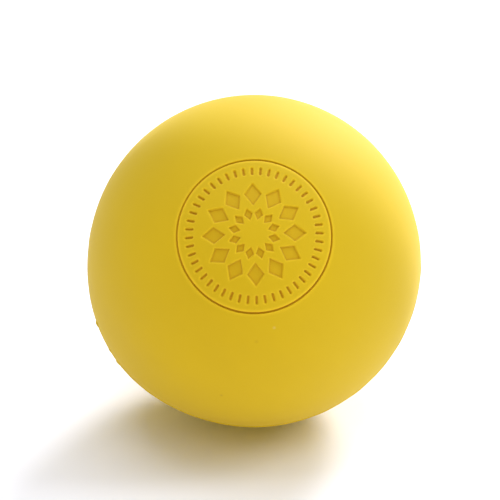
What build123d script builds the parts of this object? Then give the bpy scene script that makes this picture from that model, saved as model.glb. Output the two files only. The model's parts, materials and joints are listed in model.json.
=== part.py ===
from build123d import *
from math import asin, cos, degrees, radians, sin, sqrt
import os

# Driving sizes of the ball, in millimetres and degrees
ball_diameter = 63.5    # two and a half inches, the playing size
cover_wall = 5.0        # rubber cover over the core
bond_film = 0.05        # cement between the core and the cover
flash_width = 0.8       # trimmed flash round the parting line, across both halves
flash_height = 0.12     # how far the trimmed flash stands off the ball
ring_diameter = 28.3    # round groove on the front of the ball, at its mid-line
groove_width = 0.35
groove_depth = 0.4
front_tilt = 35.0       # the front faces -Y and looks up by this angle as the ball lies

# Sizes that follow from them
ball_radius = ball_diameter / 2
bore_radius = ball_radius - cover_wall
core_radius = bore_radius - bond_film
flash_radius = ball_radius + flash_height


def polar(radius, angle):
    """A point of the section, at an angle from the ball's front axis."""
    return radius * sin(radians(angle)), radius * cos(radians(angle))


def flash_section():
    """Half of the trimmed flash: a flat crest with a 45 degree flank down to the ball."""
    half_width = flash_width / 2
    foot = sqrt(ball_radius**2 - half_width**2)
    root = (bore_radius + ball_radius) / 2
    return Polygon(
        (root, 0),
        (flash_radius, 0),
        (flash_radius, half_width - flash_height),
        (foot, half_width),
        (root, half_width),
        align=None,
    )


def groove_section():
    """The ring groove: parallel walls square to the ball's surface and a round bottom."""
    angle = degrees(asin(ring_diameter / ball_diameter))
    middle = ball_radius + (groove_width - groove_depth) / 2
    return Pos(*polar(middle, angle)) * Rot(0, 0, 90 - angle) * SlotCenterToCenter(groove_depth, groove_width)


def cover_section():
    """Half the section of one cover cup, from its pole on the axis to the parting line."""
    quarter = Rectangle(flash_radius, flash_radius, align=(Align.MIN, Align.MIN))
    wall = (Circle(ball_radius) - Circle(bore_radius)) & quarter
    return wall + flash_section()


def turned(section):
    """The solid that a section makes when it is turned about the front axis."""
    return revolve(Plane.XZ * section, Axis.Z)


# The front axis is modelled along +Z, then the ball is laid as it rests on the floor
lie = Rot(90 - front_tilt, 0, 0)
pieces = {
    "core": lie * Sphere(core_radius),
    "front_cover_half": lie * turned(cover_section() - groove_section()),
    "rear_cover_half": lie * Rot(180, 0, 0) * turned(cover_section()),
}

os.makedirs("parts", exist_ok=True)
for name, piece in pieces.items():
    piece.label = name
    export_step(piece, f"parts/{name}.step")
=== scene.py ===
import bpy
import json
import math
from mathutils import Matrix, Vector, noise


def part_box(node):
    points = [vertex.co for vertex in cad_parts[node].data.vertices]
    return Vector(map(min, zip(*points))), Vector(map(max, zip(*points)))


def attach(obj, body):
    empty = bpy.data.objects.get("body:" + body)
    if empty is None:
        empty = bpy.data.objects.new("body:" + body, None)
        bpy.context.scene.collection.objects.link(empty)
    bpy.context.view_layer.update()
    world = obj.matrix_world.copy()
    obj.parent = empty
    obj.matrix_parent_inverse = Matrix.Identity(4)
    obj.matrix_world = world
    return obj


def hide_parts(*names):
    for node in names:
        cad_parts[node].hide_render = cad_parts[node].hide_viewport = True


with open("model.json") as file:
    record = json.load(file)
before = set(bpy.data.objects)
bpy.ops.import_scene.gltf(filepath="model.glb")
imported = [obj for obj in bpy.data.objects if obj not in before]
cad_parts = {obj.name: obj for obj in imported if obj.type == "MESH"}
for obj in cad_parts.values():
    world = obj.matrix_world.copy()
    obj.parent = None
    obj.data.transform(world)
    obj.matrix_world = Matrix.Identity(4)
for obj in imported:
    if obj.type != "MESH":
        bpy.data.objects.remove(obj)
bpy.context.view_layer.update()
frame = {"nodes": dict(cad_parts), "record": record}

mm = 0.001
seat = frame["record"]["mounts"][0]
lowCore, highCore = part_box("core")

ball = {
    "radius": seat["dims"]["r_mm"] * mm,           # the cup seat is as round as the ball
    "coreRadius": (highCore[0] - lowCore[0]) / 2,
    "bondFilm": 0.05 * mm,                         # cement between the core and the cover
    "frontTilt": math.radians(35),                 # the front looks up by this much
}
frontTurn = math.pi / 2 - ball["frontTilt"]        # turns the upright axis of a new half to the front


class Wire:  # a shader socket that can be added and scaled like a number
    def __init__(self, tree, socket=None):
        self.tree = tree
        self.socket = socket

    def node(self, kind, settings=None, inputs=None, out=0):
        made = self.tree.nodes.new(kind)
        for name, value in (settings or {}).items():
            setattr(made, name, value)
        for key, value in (inputs or {}).items():
            if isinstance(value, Wire):
                self.tree.links.new(value.socket, made.inputs[key])
            else:
                made.inputs[key].default_value = value
        return Wire(self.tree, made.outputs[out] if made.outputs else None)

    def maths(self, operation, first, second):
        return self.node("ShaderNodeMath", {"operation": operation}, {0: first, 1: second})

    def __add__(self, other):
        return self.maths("ADD", self, other)

    def __radd__(self, other):
        return self.maths("ADD", other, self)

    def __sub__(self, other):
        return self.maths("SUBTRACT", self, other)

    def __rsub__(self, other):
        return self.maths("SUBTRACT", other, self)

    def __mul__(self, other):
        return self.maths("MULTIPLY", self, other)

    def __rmul__(self, other):
        return self.maths("MULTIPLY", other, self)

    def blend(self, first, second):  # from one colour to another as this value goes from 0 to 1
        return self.node("ShaderNodeMix", {"data_type": "RGBA"}, {0: self, 6: first, 7: second}, out=2)


noiseMean = 0.5          # the middle of what a noise texture gives


def newMaterial(name):
    material = bpy.data.materials.new(name)
    material.use_nodes = True
    material.node_tree.nodes.clear()
    return material, Wire(material.node_tree)


def addNoise(sheet, here, pattern):
    inputs = {"Vector": here, "Scale": pattern["scale"], "Detail": pattern["detail"]}
    return sheet.node("ShaderNodeTexNoise", inputs=inputs)


def addBump(sheet, height, pattern, **more):
    inputs = {"Height": height, "Strength": pattern["strength"], "Distance": pattern["depth"], **more}
    return sheet.node("ShaderNodeBump", inputs=inputs)


def finishMaterial(sheet, shader):
    sheet.node("ShaderNodeOutputMaterial", inputs={"Surface": shader})


# The cover's rubber: satin yellow, finely grained, a little uneven in tone
coverFinish = {
    "yellow": (0.624, 0.429, 0.0005, 1),
    "deepYellow": (0.575, 0.389, 0.0003, 1),
    "tone": {"scale": 70, "detail": 4},      # patches of tone, about 14 mm across
    # painted shade: the recesses are coloured darker, towards this brown
    "recessShadeBrown": (0.44, 0.20, 0.001, 1),
    "recessShadeShare": 0.85,                     # how far a thin recess goes to that brown, as painted shade
    # painted highlight: the lips beside the recesses are coloured paler, towards this yellow
    "lipHighlightYellow": (0.765, 0.528, 0.010, 1),
    "wave": {"scale": 260, "detail": 2, "strength": 0.25, "depth": 0.05 * mm},    # faint, about 4 mm across
    "grain": {"scale": 3200, "detail": 3, "strength": 0.35, "depth": 0.02 * mm},  # of about 0.3 mm
    "roughness": 0.75,
    "grainRoughness": 0.12,                  # how far the roughness follows the grain
    "toneRoughness": 0.1,                    # and the tone
    "specular": 0.27,
    "bloom": 0.27,                           # a fine bloom that lightens the rubber towards its edge
    "bloomRoughness": 0.5,
    "bloomYellow": (1.0, 0.80, 0.29, 1),
}

# Specks in the rubber, by their angles in degrees from the front axis and round it
specks = {
    "brown": {"lean": 62.5, "around": 257.5, "radius": 0.42 * mm, "colour": (0.48, 0.30, 0.005, 1)},
    "pale": {"lean": 32.3, "around": 282.3, "radius": 0.40 * mm, "colour": (0.64, 0.47, 0.105, 1)},
    "faint": {"lean": 36.6, "around": 271.2, "radius": 0.50 * mm, "colour": (0.54, 0.345, 0.002, 1)},
}


def surfacePlace(lean, around):  # a place on the ball as it lies
    slope = math.radians(lean)
    turn = math.radians(around)
    upright = Vector((math.sin(slope) * math.cos(turn), math.sin(slope) * math.sin(turn), math.cos(slope)))
    return Matrix.Rotation(frontTurn, 3, "X") @ upright * ball["radius"]


def coverRubber():
    material, sheet = newMaterial("coverRubber")
    here = sheet.node("ShaderNodeTexCoord", out="Object")
    tone = addNoise(sheet, here, coverFinish["tone"])
    grain = addNoise(sheet, here, coverFinish["grain"])
    wave = addNoise(sheet, here, coverFinish["wave"])
    # painted shade of the recesses (above 0) and painted highlight of their lips (below 0), from the mark
    paintedShadeAndHighlight = sheet.node("ShaderNodeAttribute", {"attribute_name": "paintedShadeAndHighlight"}, out="Fac")
    colour = tone.blend(coverFinish["deepYellow"], coverFinish["yellow"])
    # painted shade in the recesses
    colour = (paintedShadeAndHighlight * coverFinish["recessShadeShare"]).blend(colour, coverFinish["recessShadeBrown"])
    # painted highlight on the lips beside them
    colour = (0 - paintedShadeAndHighlight).blend(colour, coverFinish["lipHighlightYellow"])
    for speck in specks.values():
        middle = surfacePlace(speck["lean"], speck["around"])
        ends = {0: here, 1: middle}
        away = sheet.node("ShaderNodeVectorMath", {"operation": "DISTANCE"}, ends, out="Value")
        colour = (1 - away * (1 / speck["radius"])).blend(colour, speck["colour"])
    rough = coverFinish["roughness"] + (grain - noiseMean) * coverFinish["grainRoughness"]
    rough = rough + (tone - noiseMean) * coverFinish["toneRoughness"]
    waves = addBump(sheet, wave, coverFinish["wave"])
    shader = sheet.node(
        "ShaderNodeBsdfPrincipled",
        inputs={
            "Base Color": colour,
            "Roughness": rough,
            "Normal": addBump(sheet, grain, coverFinish["grain"], Normal=waves),
            "Specular IOR Level": coverFinish["specular"],
            "Sheen Weight": coverFinish["bloom"],
            "Sheen Roughness": coverFinish["bloomRoughness"],
            "Sheen Tint": coverFinish["bloomYellow"],
        },
    )
    finishMaterial(sheet, shader)
    return material


# The core's rubber: a brown gum with a crumbly grain
coreFinish = {
    "light": (0.26, 0.215, 0.14, 1),
    "dark": (0.17, 0.14, 0.09, 1),
    "crumb": {"scale": 900, "detail": 5, "strength": 0.5, "depth": 0.1 * mm},     # of about 1 mm
    "roughness": 0.75,
    "crumbRoughness": 0.2,                   # how far the roughness follows the crumbs
}


def coreRubber():
    material, sheet = newMaterial("coreRubber")
    here = sheet.node("ShaderNodeTexCoord", out="Object")
    crumb = addNoise(sheet, here, coreFinish["crumb"])
    shader = sheet.node(
        "ShaderNodeBsdfPrincipled",
        inputs={
            "Base Color": crumb.blend(coreFinish["dark"], coreFinish["light"]),
            "Roughness": coreFinish["roughness"] + (crumb - noiseMean) * coreFinish["crumbRoughness"],
            "Normal": addBump(sheet, crumb, coreFinish["crumb"]),
        },
    )
    finishMaterial(sheet, shader)
    return material


coverMaterial = coverRubber()
coreMaterial = coreRubber()
print("materials: rubber for the cover and the core")


# The round mark on the front: a ring groove, a ring of short bars and two rings of diamonds
mark = {
    "roll": math.radians(-13),     # turned clockwise as the ball lies
    "depth": 0.4 * mm,
    "lipWidth": 0.45 * mm,         # the soft rounding outside a recess, and the painted highlight beside the bars and diamonds
    "lipDepth": 0.06,              # its share of the depth
    "fineLipHighlight": 0.6,                # how pale the painted highlight is beside the bars and diamonds
    "ringRadius": 14.15 * mm,
    "grooveWidth": 0.35 * mm,
    "grooveWall": 0.10 * mm,       # width of the groove's sloping wall
    "grooveHighlightWidth": 0.7 * mm,       # of the painted highlight lines along the groove
    "outerGrooveHighlight": 0.6,            # how pale the outer painted highlight line is, where the inner one is 1
    "barCount": 48,
    "barRing": 11.9 * mm,          # where the middles of the bars lie
    "barLength": 1.5 * mm,
    "barWidth": 0.45 * mm,
    "barWall": 0.14 * mm,
    "diamondCount": 12,            # in each ring
    "diamondRings": 2,
    "firstRing": 3.7 * mm,
    "ringGrowth": 2.0,             # each ring of diamonds is this many times larger
    "diamondLength": 0.28,         # half length, as a share of its ring's radius
    "diamondWidth": 0.80,          # width, as a share of the room in its ring
    "corner": 0.06 * mm,           # rounding of a diamond's corners
    "diamondWall": 0.24 * mm,
    "diamondShade": 0.24,          # painted shade: the wide floors are this dark beside the thin strokes
    "edgeShade": 0.52,             # and painted shade this much darker along their walls
    # the width of that painted shade along the walls
    "edgeWidth": 0.45 * mm,
}


def limited(share):
    return min(1, max(0, share))


def ease(share):
    share = limited(share)
    return share * share * (3 - 2 * share)


def foldedPoint(x, y, count, turn):  # the point as the nearest of a ring of copies sees it
    radius = math.hypot(x, y)
    pitch = 2 * math.pi / count
    angle = (math.atan2(y, x) - turn + pitch / 2) % pitch - pitch / 2
    return radius * math.cos(angle), radius * math.sin(angle)


# The distances are below 0 inside a recess
def grooveDistance(point):
    lean = math.atan2(math.hypot(point.x, point.y), point.z)
    ringLean = math.asin(mark["ringRadius"] / ball["radius"])
    return abs(lean - ringLean) * ball["radius"] - mark["grooveWidth"] / 2


def barDistance(point):
    along, across = foldedPoint(point.x, point.y, mark["barCount"], mark["roll"] + math.pi / 2)
    straight = mark["barLength"] - mark["barWidth"]
    past = max(0, abs(along - mark["barRing"]) - straight / 2)
    return math.hypot(past, across) - mark["barWidth"] / 2


def diamondDistance(point, ring):
    radius = mark["firstRing"] * mark["ringGrowth"] ** ring
    pitch = 2 * math.pi / mark["diamondCount"]
    turn = mark["roll"] + math.pi / 2 + (ring % 2) * pitch / 2   # the second ring is half a step on
    along, across = foldedPoint(point.x, point.y, mark["diamondCount"], turn)
    halfLength = radius * mark["diamondLength"] - mark["corner"]
    halfWidth = radius * pitch / 2 * mark["diamondWidth"] - mark["corner"]
    lengthwise = abs(along - radius)
    sideways = abs(across)
    share = ((halfLength - lengthwise) * halfLength + sideways * halfWidth) / (halfLength**2 + halfWidth**2)
    share = limited(share)   # where on the diamond's side the nearest place lies
    gap = math.hypot(lengthwise - halfLength * (1 - share), sideways - halfWidth * share)
    inside = lengthwise * halfWidth + sideways * halfLength < halfLength * halfWidth
    return (-gap if inside else gap) - mark["corner"]


def nearestDiamond(point):
    return min(diamondDistance(point, ring) for ring in range(mark["diamondRings"]))


def sunk(distance, wall):  # 1 on the floor of a recess, 0 outside it, half way at its outline
    return ease(0.5 - distance / wall)


def recess(distance, wall):
    lip = ease(1 - distance / mark["lipWidth"])
    return mark["lipDepth"] * lip + (1 - mark["lipDepth"]) * sunk(distance, wall)


def markWeight(point):  # how deep: 1 on the floor of a recess, 0 on the ball's own surface
    groove = recess(grooveDistance(point), mark["grooveWall"])
    bars = recess(barDistance(point), mark["barWall"])
    diamonds = recess(nearestDiamond(point), mark["diamondWall"])
    return max(groove, bars, diamonds)


def markShadeAndHighlight(point):  # above 0 for the painted shade in a recess, below 0 for the painted highlight on the lip beside it
    toGroove = grooveDistance(point)
    toBar = barDistance(point)
    toDiamond = nearestDiamond(point)
    # painted shade on the floors of the recesses
    groove = sunk(toGroove, mark["grooveWall"])
    bars = sunk(toBar, mark["barWall"])
    diamonds = sunk(toDiamond, mark["diamondWall"])
    outside = 1 - max(groove, bars, diamonds)
    # painted highlight lines along the groove
    grooveHighlightShare = ease(1 - toGroove / mark["grooveHighlightWidth"])
    if math.hypot(point.x, point.y) > mark["ringRadius"]:
        grooveHighlightShare *= mark["outerGrooveHighlight"]
    # painted highlight beside the bars and diamonds
    lip = mark["fineLipHighlight"] * ease(1 - min(toBar, toDiamond) / mark["lipWidth"])
    # painted shade along the diamonds' walls
    edge = ease(1 + toDiamond / mark["edgeWidth"])
    diamonds *= mark["diamondShade"] + mark["edgeShade"] * edge
    return max(groove, bars, diamonds) - outside * max(grooveHighlightShare, lip)


# The trimmed flash along the parting line
flash = {
    "width": 0.8 * mm,
    "height": 0.35 * mm,          # of the tallest nib that the trimming left
    "crest": 0.12 * mm,           # of the rest of the line
    "flank": 0.12 * mm,           # width of the slope down to the ball
    "unevenness": 0.4,
    "waviness": 9.0,              # how quickly the crest's height wanders
    "nibs": ((202, 1.0), (212, 0.6), (217, 0.9)),   # degrees round the front axis, share of the height
    "nibLength": 1.1,             # degrees from a nib's top to its foot
}


def flashWeight(point):
    inward = flash["width"] / 2 - abs(point.z)
    slope = limited(inward / flash["flank"])
    if slope == 0:
        return 0
    around = math.atan2(point.y, point.x)
    spot = Vector((math.cos(around), math.sin(around), 0)) * flash["waviness"]
    crest = flash["crest"] / flash["height"] * (1 + flash["unevenness"] * noise.noise(spot))
    for degrees, share in flash["nibs"]:
        away = abs(math.degrees(around) % 360 - degrees) / flash["nibLength"]
        crest = max(crest, share * (1 - away * away))
    return slope * crest


# A low swell on the parting line, where the ball is a little out of round
swell = {
    "height": 0.6 * mm,
    "around": 216,        # degrees round the front axis
    "halfLength": 43,     # degrees along the parting line to its end
    "halfBreadth": 24,    # degrees across the line to its foot
}
rimLean = 90              # degrees from the axis to the parting line


def leanOf(point):  # degrees from the front axis, or from the rear one on the rear half
    return math.degrees(math.atan2(math.hypot(point.x, point.y), abs(point.z)))


def swellWeight(point):
    around = math.degrees(math.atan2(point.y, point.x)) % 360
    along = 1 - abs(around - swell["around"]) / swell["halfLength"]
    across = 1 - (rimLean - leanOf(point)) / swell["halfBreadth"]
    return ease(along) * ease(across)


# The two halves of the cover
cover = {
    "segments": 480,               # faces round the front axis, a multiple of every count in the mark
    "rings": 72,                   # faces from pole to pole, before the finer bands
    "boreSegments": 96,
    "boreRings": 48,
    "markBand": (2.5, 30.0, 9),    # degrees from the front axis, and cuts in each face there
    "grooveBand": (25.75, 27.25, 3),
    "rimBand": (87.5, 90.0, 12),
    "leanSlack": 0.01,             # degrees by which rounding may shift such an angle
    "flatSlack": mm / 1000,        # and how far it may lift a place off the parting face
    "sharpAngle": math.radians(75),
}


def addHalf(name, radius, segments, rings, side):  # an open half of a sphere, its pole on the front axis
    bpy.ops.object.select_all(action="DESELECT")
    bpy.ops.mesh.primitive_uv_sphere_add(segments=segments, ring_count=rings, radius=radius)
    half = bpy.context.object
    half.name = name
    bpy.ops.object.mode_set(mode="EDIT")
    bpy.ops.mesh.select_all(action="SELECT")
    bpy.ops.mesh.bisect(
        plane_co=(0, 0, 0),
        plane_no=(0, 0, 1),
        threshold=cover["flatSlack"],
        clear_inner=side > 0,
        clear_outer=side < 0,
    )
    bpy.ops.object.mode_set(mode="OBJECT")
    return half


def selectEdges(half, wanted):  # leaves edit mode on, with the wanted edges selected
    bpy.ops.object.mode_set(mode="EDIT")
    bpy.ops.mesh.select_mode(type="EDGE")
    bpy.ops.mesh.select_all(action="DESELECT")
    bpy.ops.object.mode_set(mode="OBJECT")
    points = half.data.vertices
    for edge in half.data.edges:
        edge.select = wanted(points[edge.vertices[0]].co, points[edge.vertices[1]].co)
    bpy.ops.object.mode_set(mode="EDIT")


def cutBand(half, low, high, cuts):  # finer rings between two angles from the axis
    slack = cover["leanSlack"]

    def downTheSide(first, second):
        upper, lower = sorted((leanOf(first), leanOf(second)))
        inBand = low - slack < upper and lower < high + slack
        return inBand and lower - upper > slack

    selectEdges(half, downTheSide)
    bpy.ops.mesh.subdivide(number_cuts=cuts)
    bpy.ops.object.mode_set(mode="OBJECT")


def applyModifier(piece, kind, **settings):
    bpy.context.view_layer.objects.active = piece
    modifier = piece.modifiers.new(kind.lower(), kind)
    for name, value in settings.items():
        setattr(modifier, name, value)
    bpy.ops.object.modifier_apply(modifier=modifier.name)


def press(half, groupName, weightOf, near, height):  # moves the surface near a feature in or out
    group = half.vertex_groups.new(name=groupName)
    for point in half.data.vertices:
        weight = weightOf(point.co) if near[point.index] else 0
        if weight > 0:
            group.add([point.index], weight, "REPLACE")
    applyModifier(half, "DISPLACE", vertex_group=groupName, strength=height, mid_level=0)


def closeBore(half, side):  # the smooth bore that fits the core, joined to the rim at the parting face
    boreRadius = ball["coreRadius"] + ball["bondFilm"]
    addHalf("bore", boreRadius, cover["boreSegments"], cover["boreRings"], side)
    bpy.ops.object.mode_set(mode="EDIT")
    bpy.ops.mesh.select_all(action="SELECT")
    bpy.ops.mesh.flip_normals()
    bpy.ops.object.mode_set(mode="OBJECT")
    half.select_set(True)
    bpy.context.view_layer.objects.active = half
    bpy.ops.object.join()
    selectEdges(half, lambda first, second: abs(first.z) + abs(second.z) < cover["flatSlack"])
    bpy.ops.mesh.bridge_edge_loops()
    bpy.ops.object.mode_set(mode="OBJECT")


def coverHalf(name, node, side):  # side is 1 for the front and -1 for the rear
    half = addHalf(name, ball["radius"], cover["segments"], cover["rings"], side)
    cutBand(half, *cover["rimBand"])
    if side > 0:
        cutBand(half, *cover["markBand"])
        cutBand(half, *cover["grooveBand"])
    applyModifier(half, "CAST", cast_type="SPHERE", factor=1, size=ball["radius"])
    half.data.attributes.new("paintedShadeAndHighlight", "FLOAT", "POINT")
    if side > 0:
        inMark = [leanOf(point.co) < cover["markBand"][1] for point in half.data.vertices]
        # the mark's painted shade and painted highlight, kept on the points for the material
        shades = [markShadeAndHighlight(point.co) if near else 0 for point, near in zip(half.data.vertices, inMark)]
        half.data.attributes["paintedShadeAndHighlight"].data.foreach_set("value", shades)
        press(half, "mark", markWeight, inMark, -mark["depth"])
    atRim = [abs(point.co.z) < flash["width"] / 2 for point in half.data.vertices]
    press(half, "flash", flashWeight, atRim, flash["height"])
    inSwell = [leanOf(point.co) > rimLean - swell["halfBreadth"] for point in half.data.vertices]
    press(half, "swell", swellWeight, inSwell, swell["height"])
    closeBore(half, side)
    half.rotation_euler = (frontTurn, 0, 0)
    bpy.ops.object.transform_apply(location=False, rotation=True, scale=False)
    bpy.ops.object.shade_smooth_by_angle(angle=cover["sharpAngle"])
    half.data.materials.clear()
    half.data.materials.append(coverMaterial)
    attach(half, "root")
    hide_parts(node)
    print(name, "faces:", len(half.data.polygons))


coverHalf("frontCover", "front_cover_half", 1)
coverHalf("rearCover", "rear_cover_half", -1)

core = frame["nodes"]["core"]
core.data.materials.clear()
core.data.materials.append(coreMaterial)


# The white floor and the soft studio light
floorFinish = {
    "size": 6.0,                         # metres
    "white": (0.95, 0.95, 0.95, 1),
}


def addFloor():
    bpy.ops.object.select_all(action="DESELECT")
    bpy.ops.mesh.primitive_plane_add(size=floorFinish["size"], location=(0, 0, -ball["radius"]))
    floor = bpy.context.object
    floor.name = "floor"
    material, sheet = newMaterial("floorPaper")
    shader = sheet.node("ShaderNodeBsdfDiffuse", inputs={"Color": floorFinish["white"]})
    finishMaterial(sheet, shader)
    floor.data.materials.append(material)


# The lamps are in degrees, metres and watts
studio = {
    "seenWhite": (1, 1, 1, 1),
    "worldStrength": 0.268,              # of the light all round, where the white that is seen is 1
    "coolWhite": (0.97, 1.0, 1.15),
    "warmYellow": (1.0, 0.80, 0.0),      # of the front card alone
    "lampDistance": 1.4,
    "lamps": {
        "keyLamp": {"azimuth": 27, "elevation": 27, "width": 0.5, "height": 0.4, "power": 23.5},
        "sideLamp": {"azimuth": 88, "elevation": 40, "width": 0.35, "height": 0.9, "power": 6.2},
        "topLamp": {"azimuth": 345, "elevation": 80, "width": 1.2, "height": 1.0, "power": 10.0},
        "fillLamp": {"azimuth": 180, "elevation": 65, "width": 1.2, "height": 1.0, "power": 3.0},
        "frontCard": {"azimuth": 190, "elevation": 15, "width": 1.8, "height": 0.5, "power": 7.0},
    },
}


def pointAt(thing, azimuth, elevation, distance):  # azimuth 0 is behind the ball, 90 to its right
    turn = math.radians(azimuth)
    rise = math.radians(elevation)
    away = Vector((math.sin(turn) * math.cos(rise), math.cos(turn) * math.cos(rise), math.sin(rise)))
    thing.location = away * distance
    thing.rotation_euler = away.to_track_quat("Z", "Y").to_euler()


def addLamps():
    for name, lamp in studio["lamps"].items():
        data = bpy.data.lights.new(name, "AREA")
        data.shape = "RECTANGLE"
        data.size = lamp["width"]
        data.size_y = lamp["height"]
        data.energy = lamp["power"]
        data.color = studio["warmYellow" if name == "frontCard" else "coolWhite"]
        holder = bpy.data.objects.new(name, data)
        bpy.context.collection.objects.link(holder)
        pointAt(holder, lamp["azimuth"], lamp["elevation"], studio["lampDistance"])


def addWorld():  # seen as white, but lights the stage at about a quarter of that
    world = bpy.data.worlds.new("studioWhite")
    bpy.context.scene.world = world
    world.use_nodes = True
    world.node_tree.nodes.clear()
    sheet = Wire(world.node_tree)
    seen = 0
    for ray in ("Is Camera Ray", "Is Glossy Ray", "Is Transmission Ray"):
        seen = sheet.node("ShaderNodeLightPath", out=ray) + seen
    colour = seen.blend((*studio["coolWhite"], 1), studio["seenWhite"])
    strength = studio["worldStrength"] + seen * (1 - studio["worldStrength"])
    light = sheet.node("ShaderNodeBackground", inputs={"Color": colour, "Strength": strength})
    sheet.node("ShaderNodeOutputWorld", inputs={"Surface": light})


# The camera, at the photograph's angle, in an image of 500 by 500
view = {
    "imageSize": 500,
    "ballCentre": (254.3, 261.0),   # pixels, from the top left
    "ballRadius": 166.4,            # pixels
    "distance": 18,                 # in ball radii
    "azimuth": 180,                 # straight in front of the ball
    "elevation": 25.9,
    "sensor": 36.0,                 # millimetres
}


def addCamera():
    data = bpy.data.cameras.new("camera")
    focal = view["ballRadius"] * math.sqrt(view["distance"] ** 2 - 1)   # in pixels
    data.sensor_width = view["sensor"]
    data.lens = focal / view["imageSize"] * view["sensor"]
    data.shift_x = 0.5 - view["ballCentre"][0] / view["imageSize"]
    data.shift_y = view["ballCentre"][1] / view["imageSize"] - 0.5
    camera = bpy.data.objects.new("camera", data)
    bpy.context.collection.objects.link(camera)
    pointAt(camera, view["azimuth"], view["elevation"], view["distance"] * ball["radius"])
    bpy.context.scene.camera = camera


addFloor()
addLamps()
addWorld()
addCamera()
bpy.context.scene.view_settings.view_transform = "Standard"
print("stage: floor, lamps, world and camera")
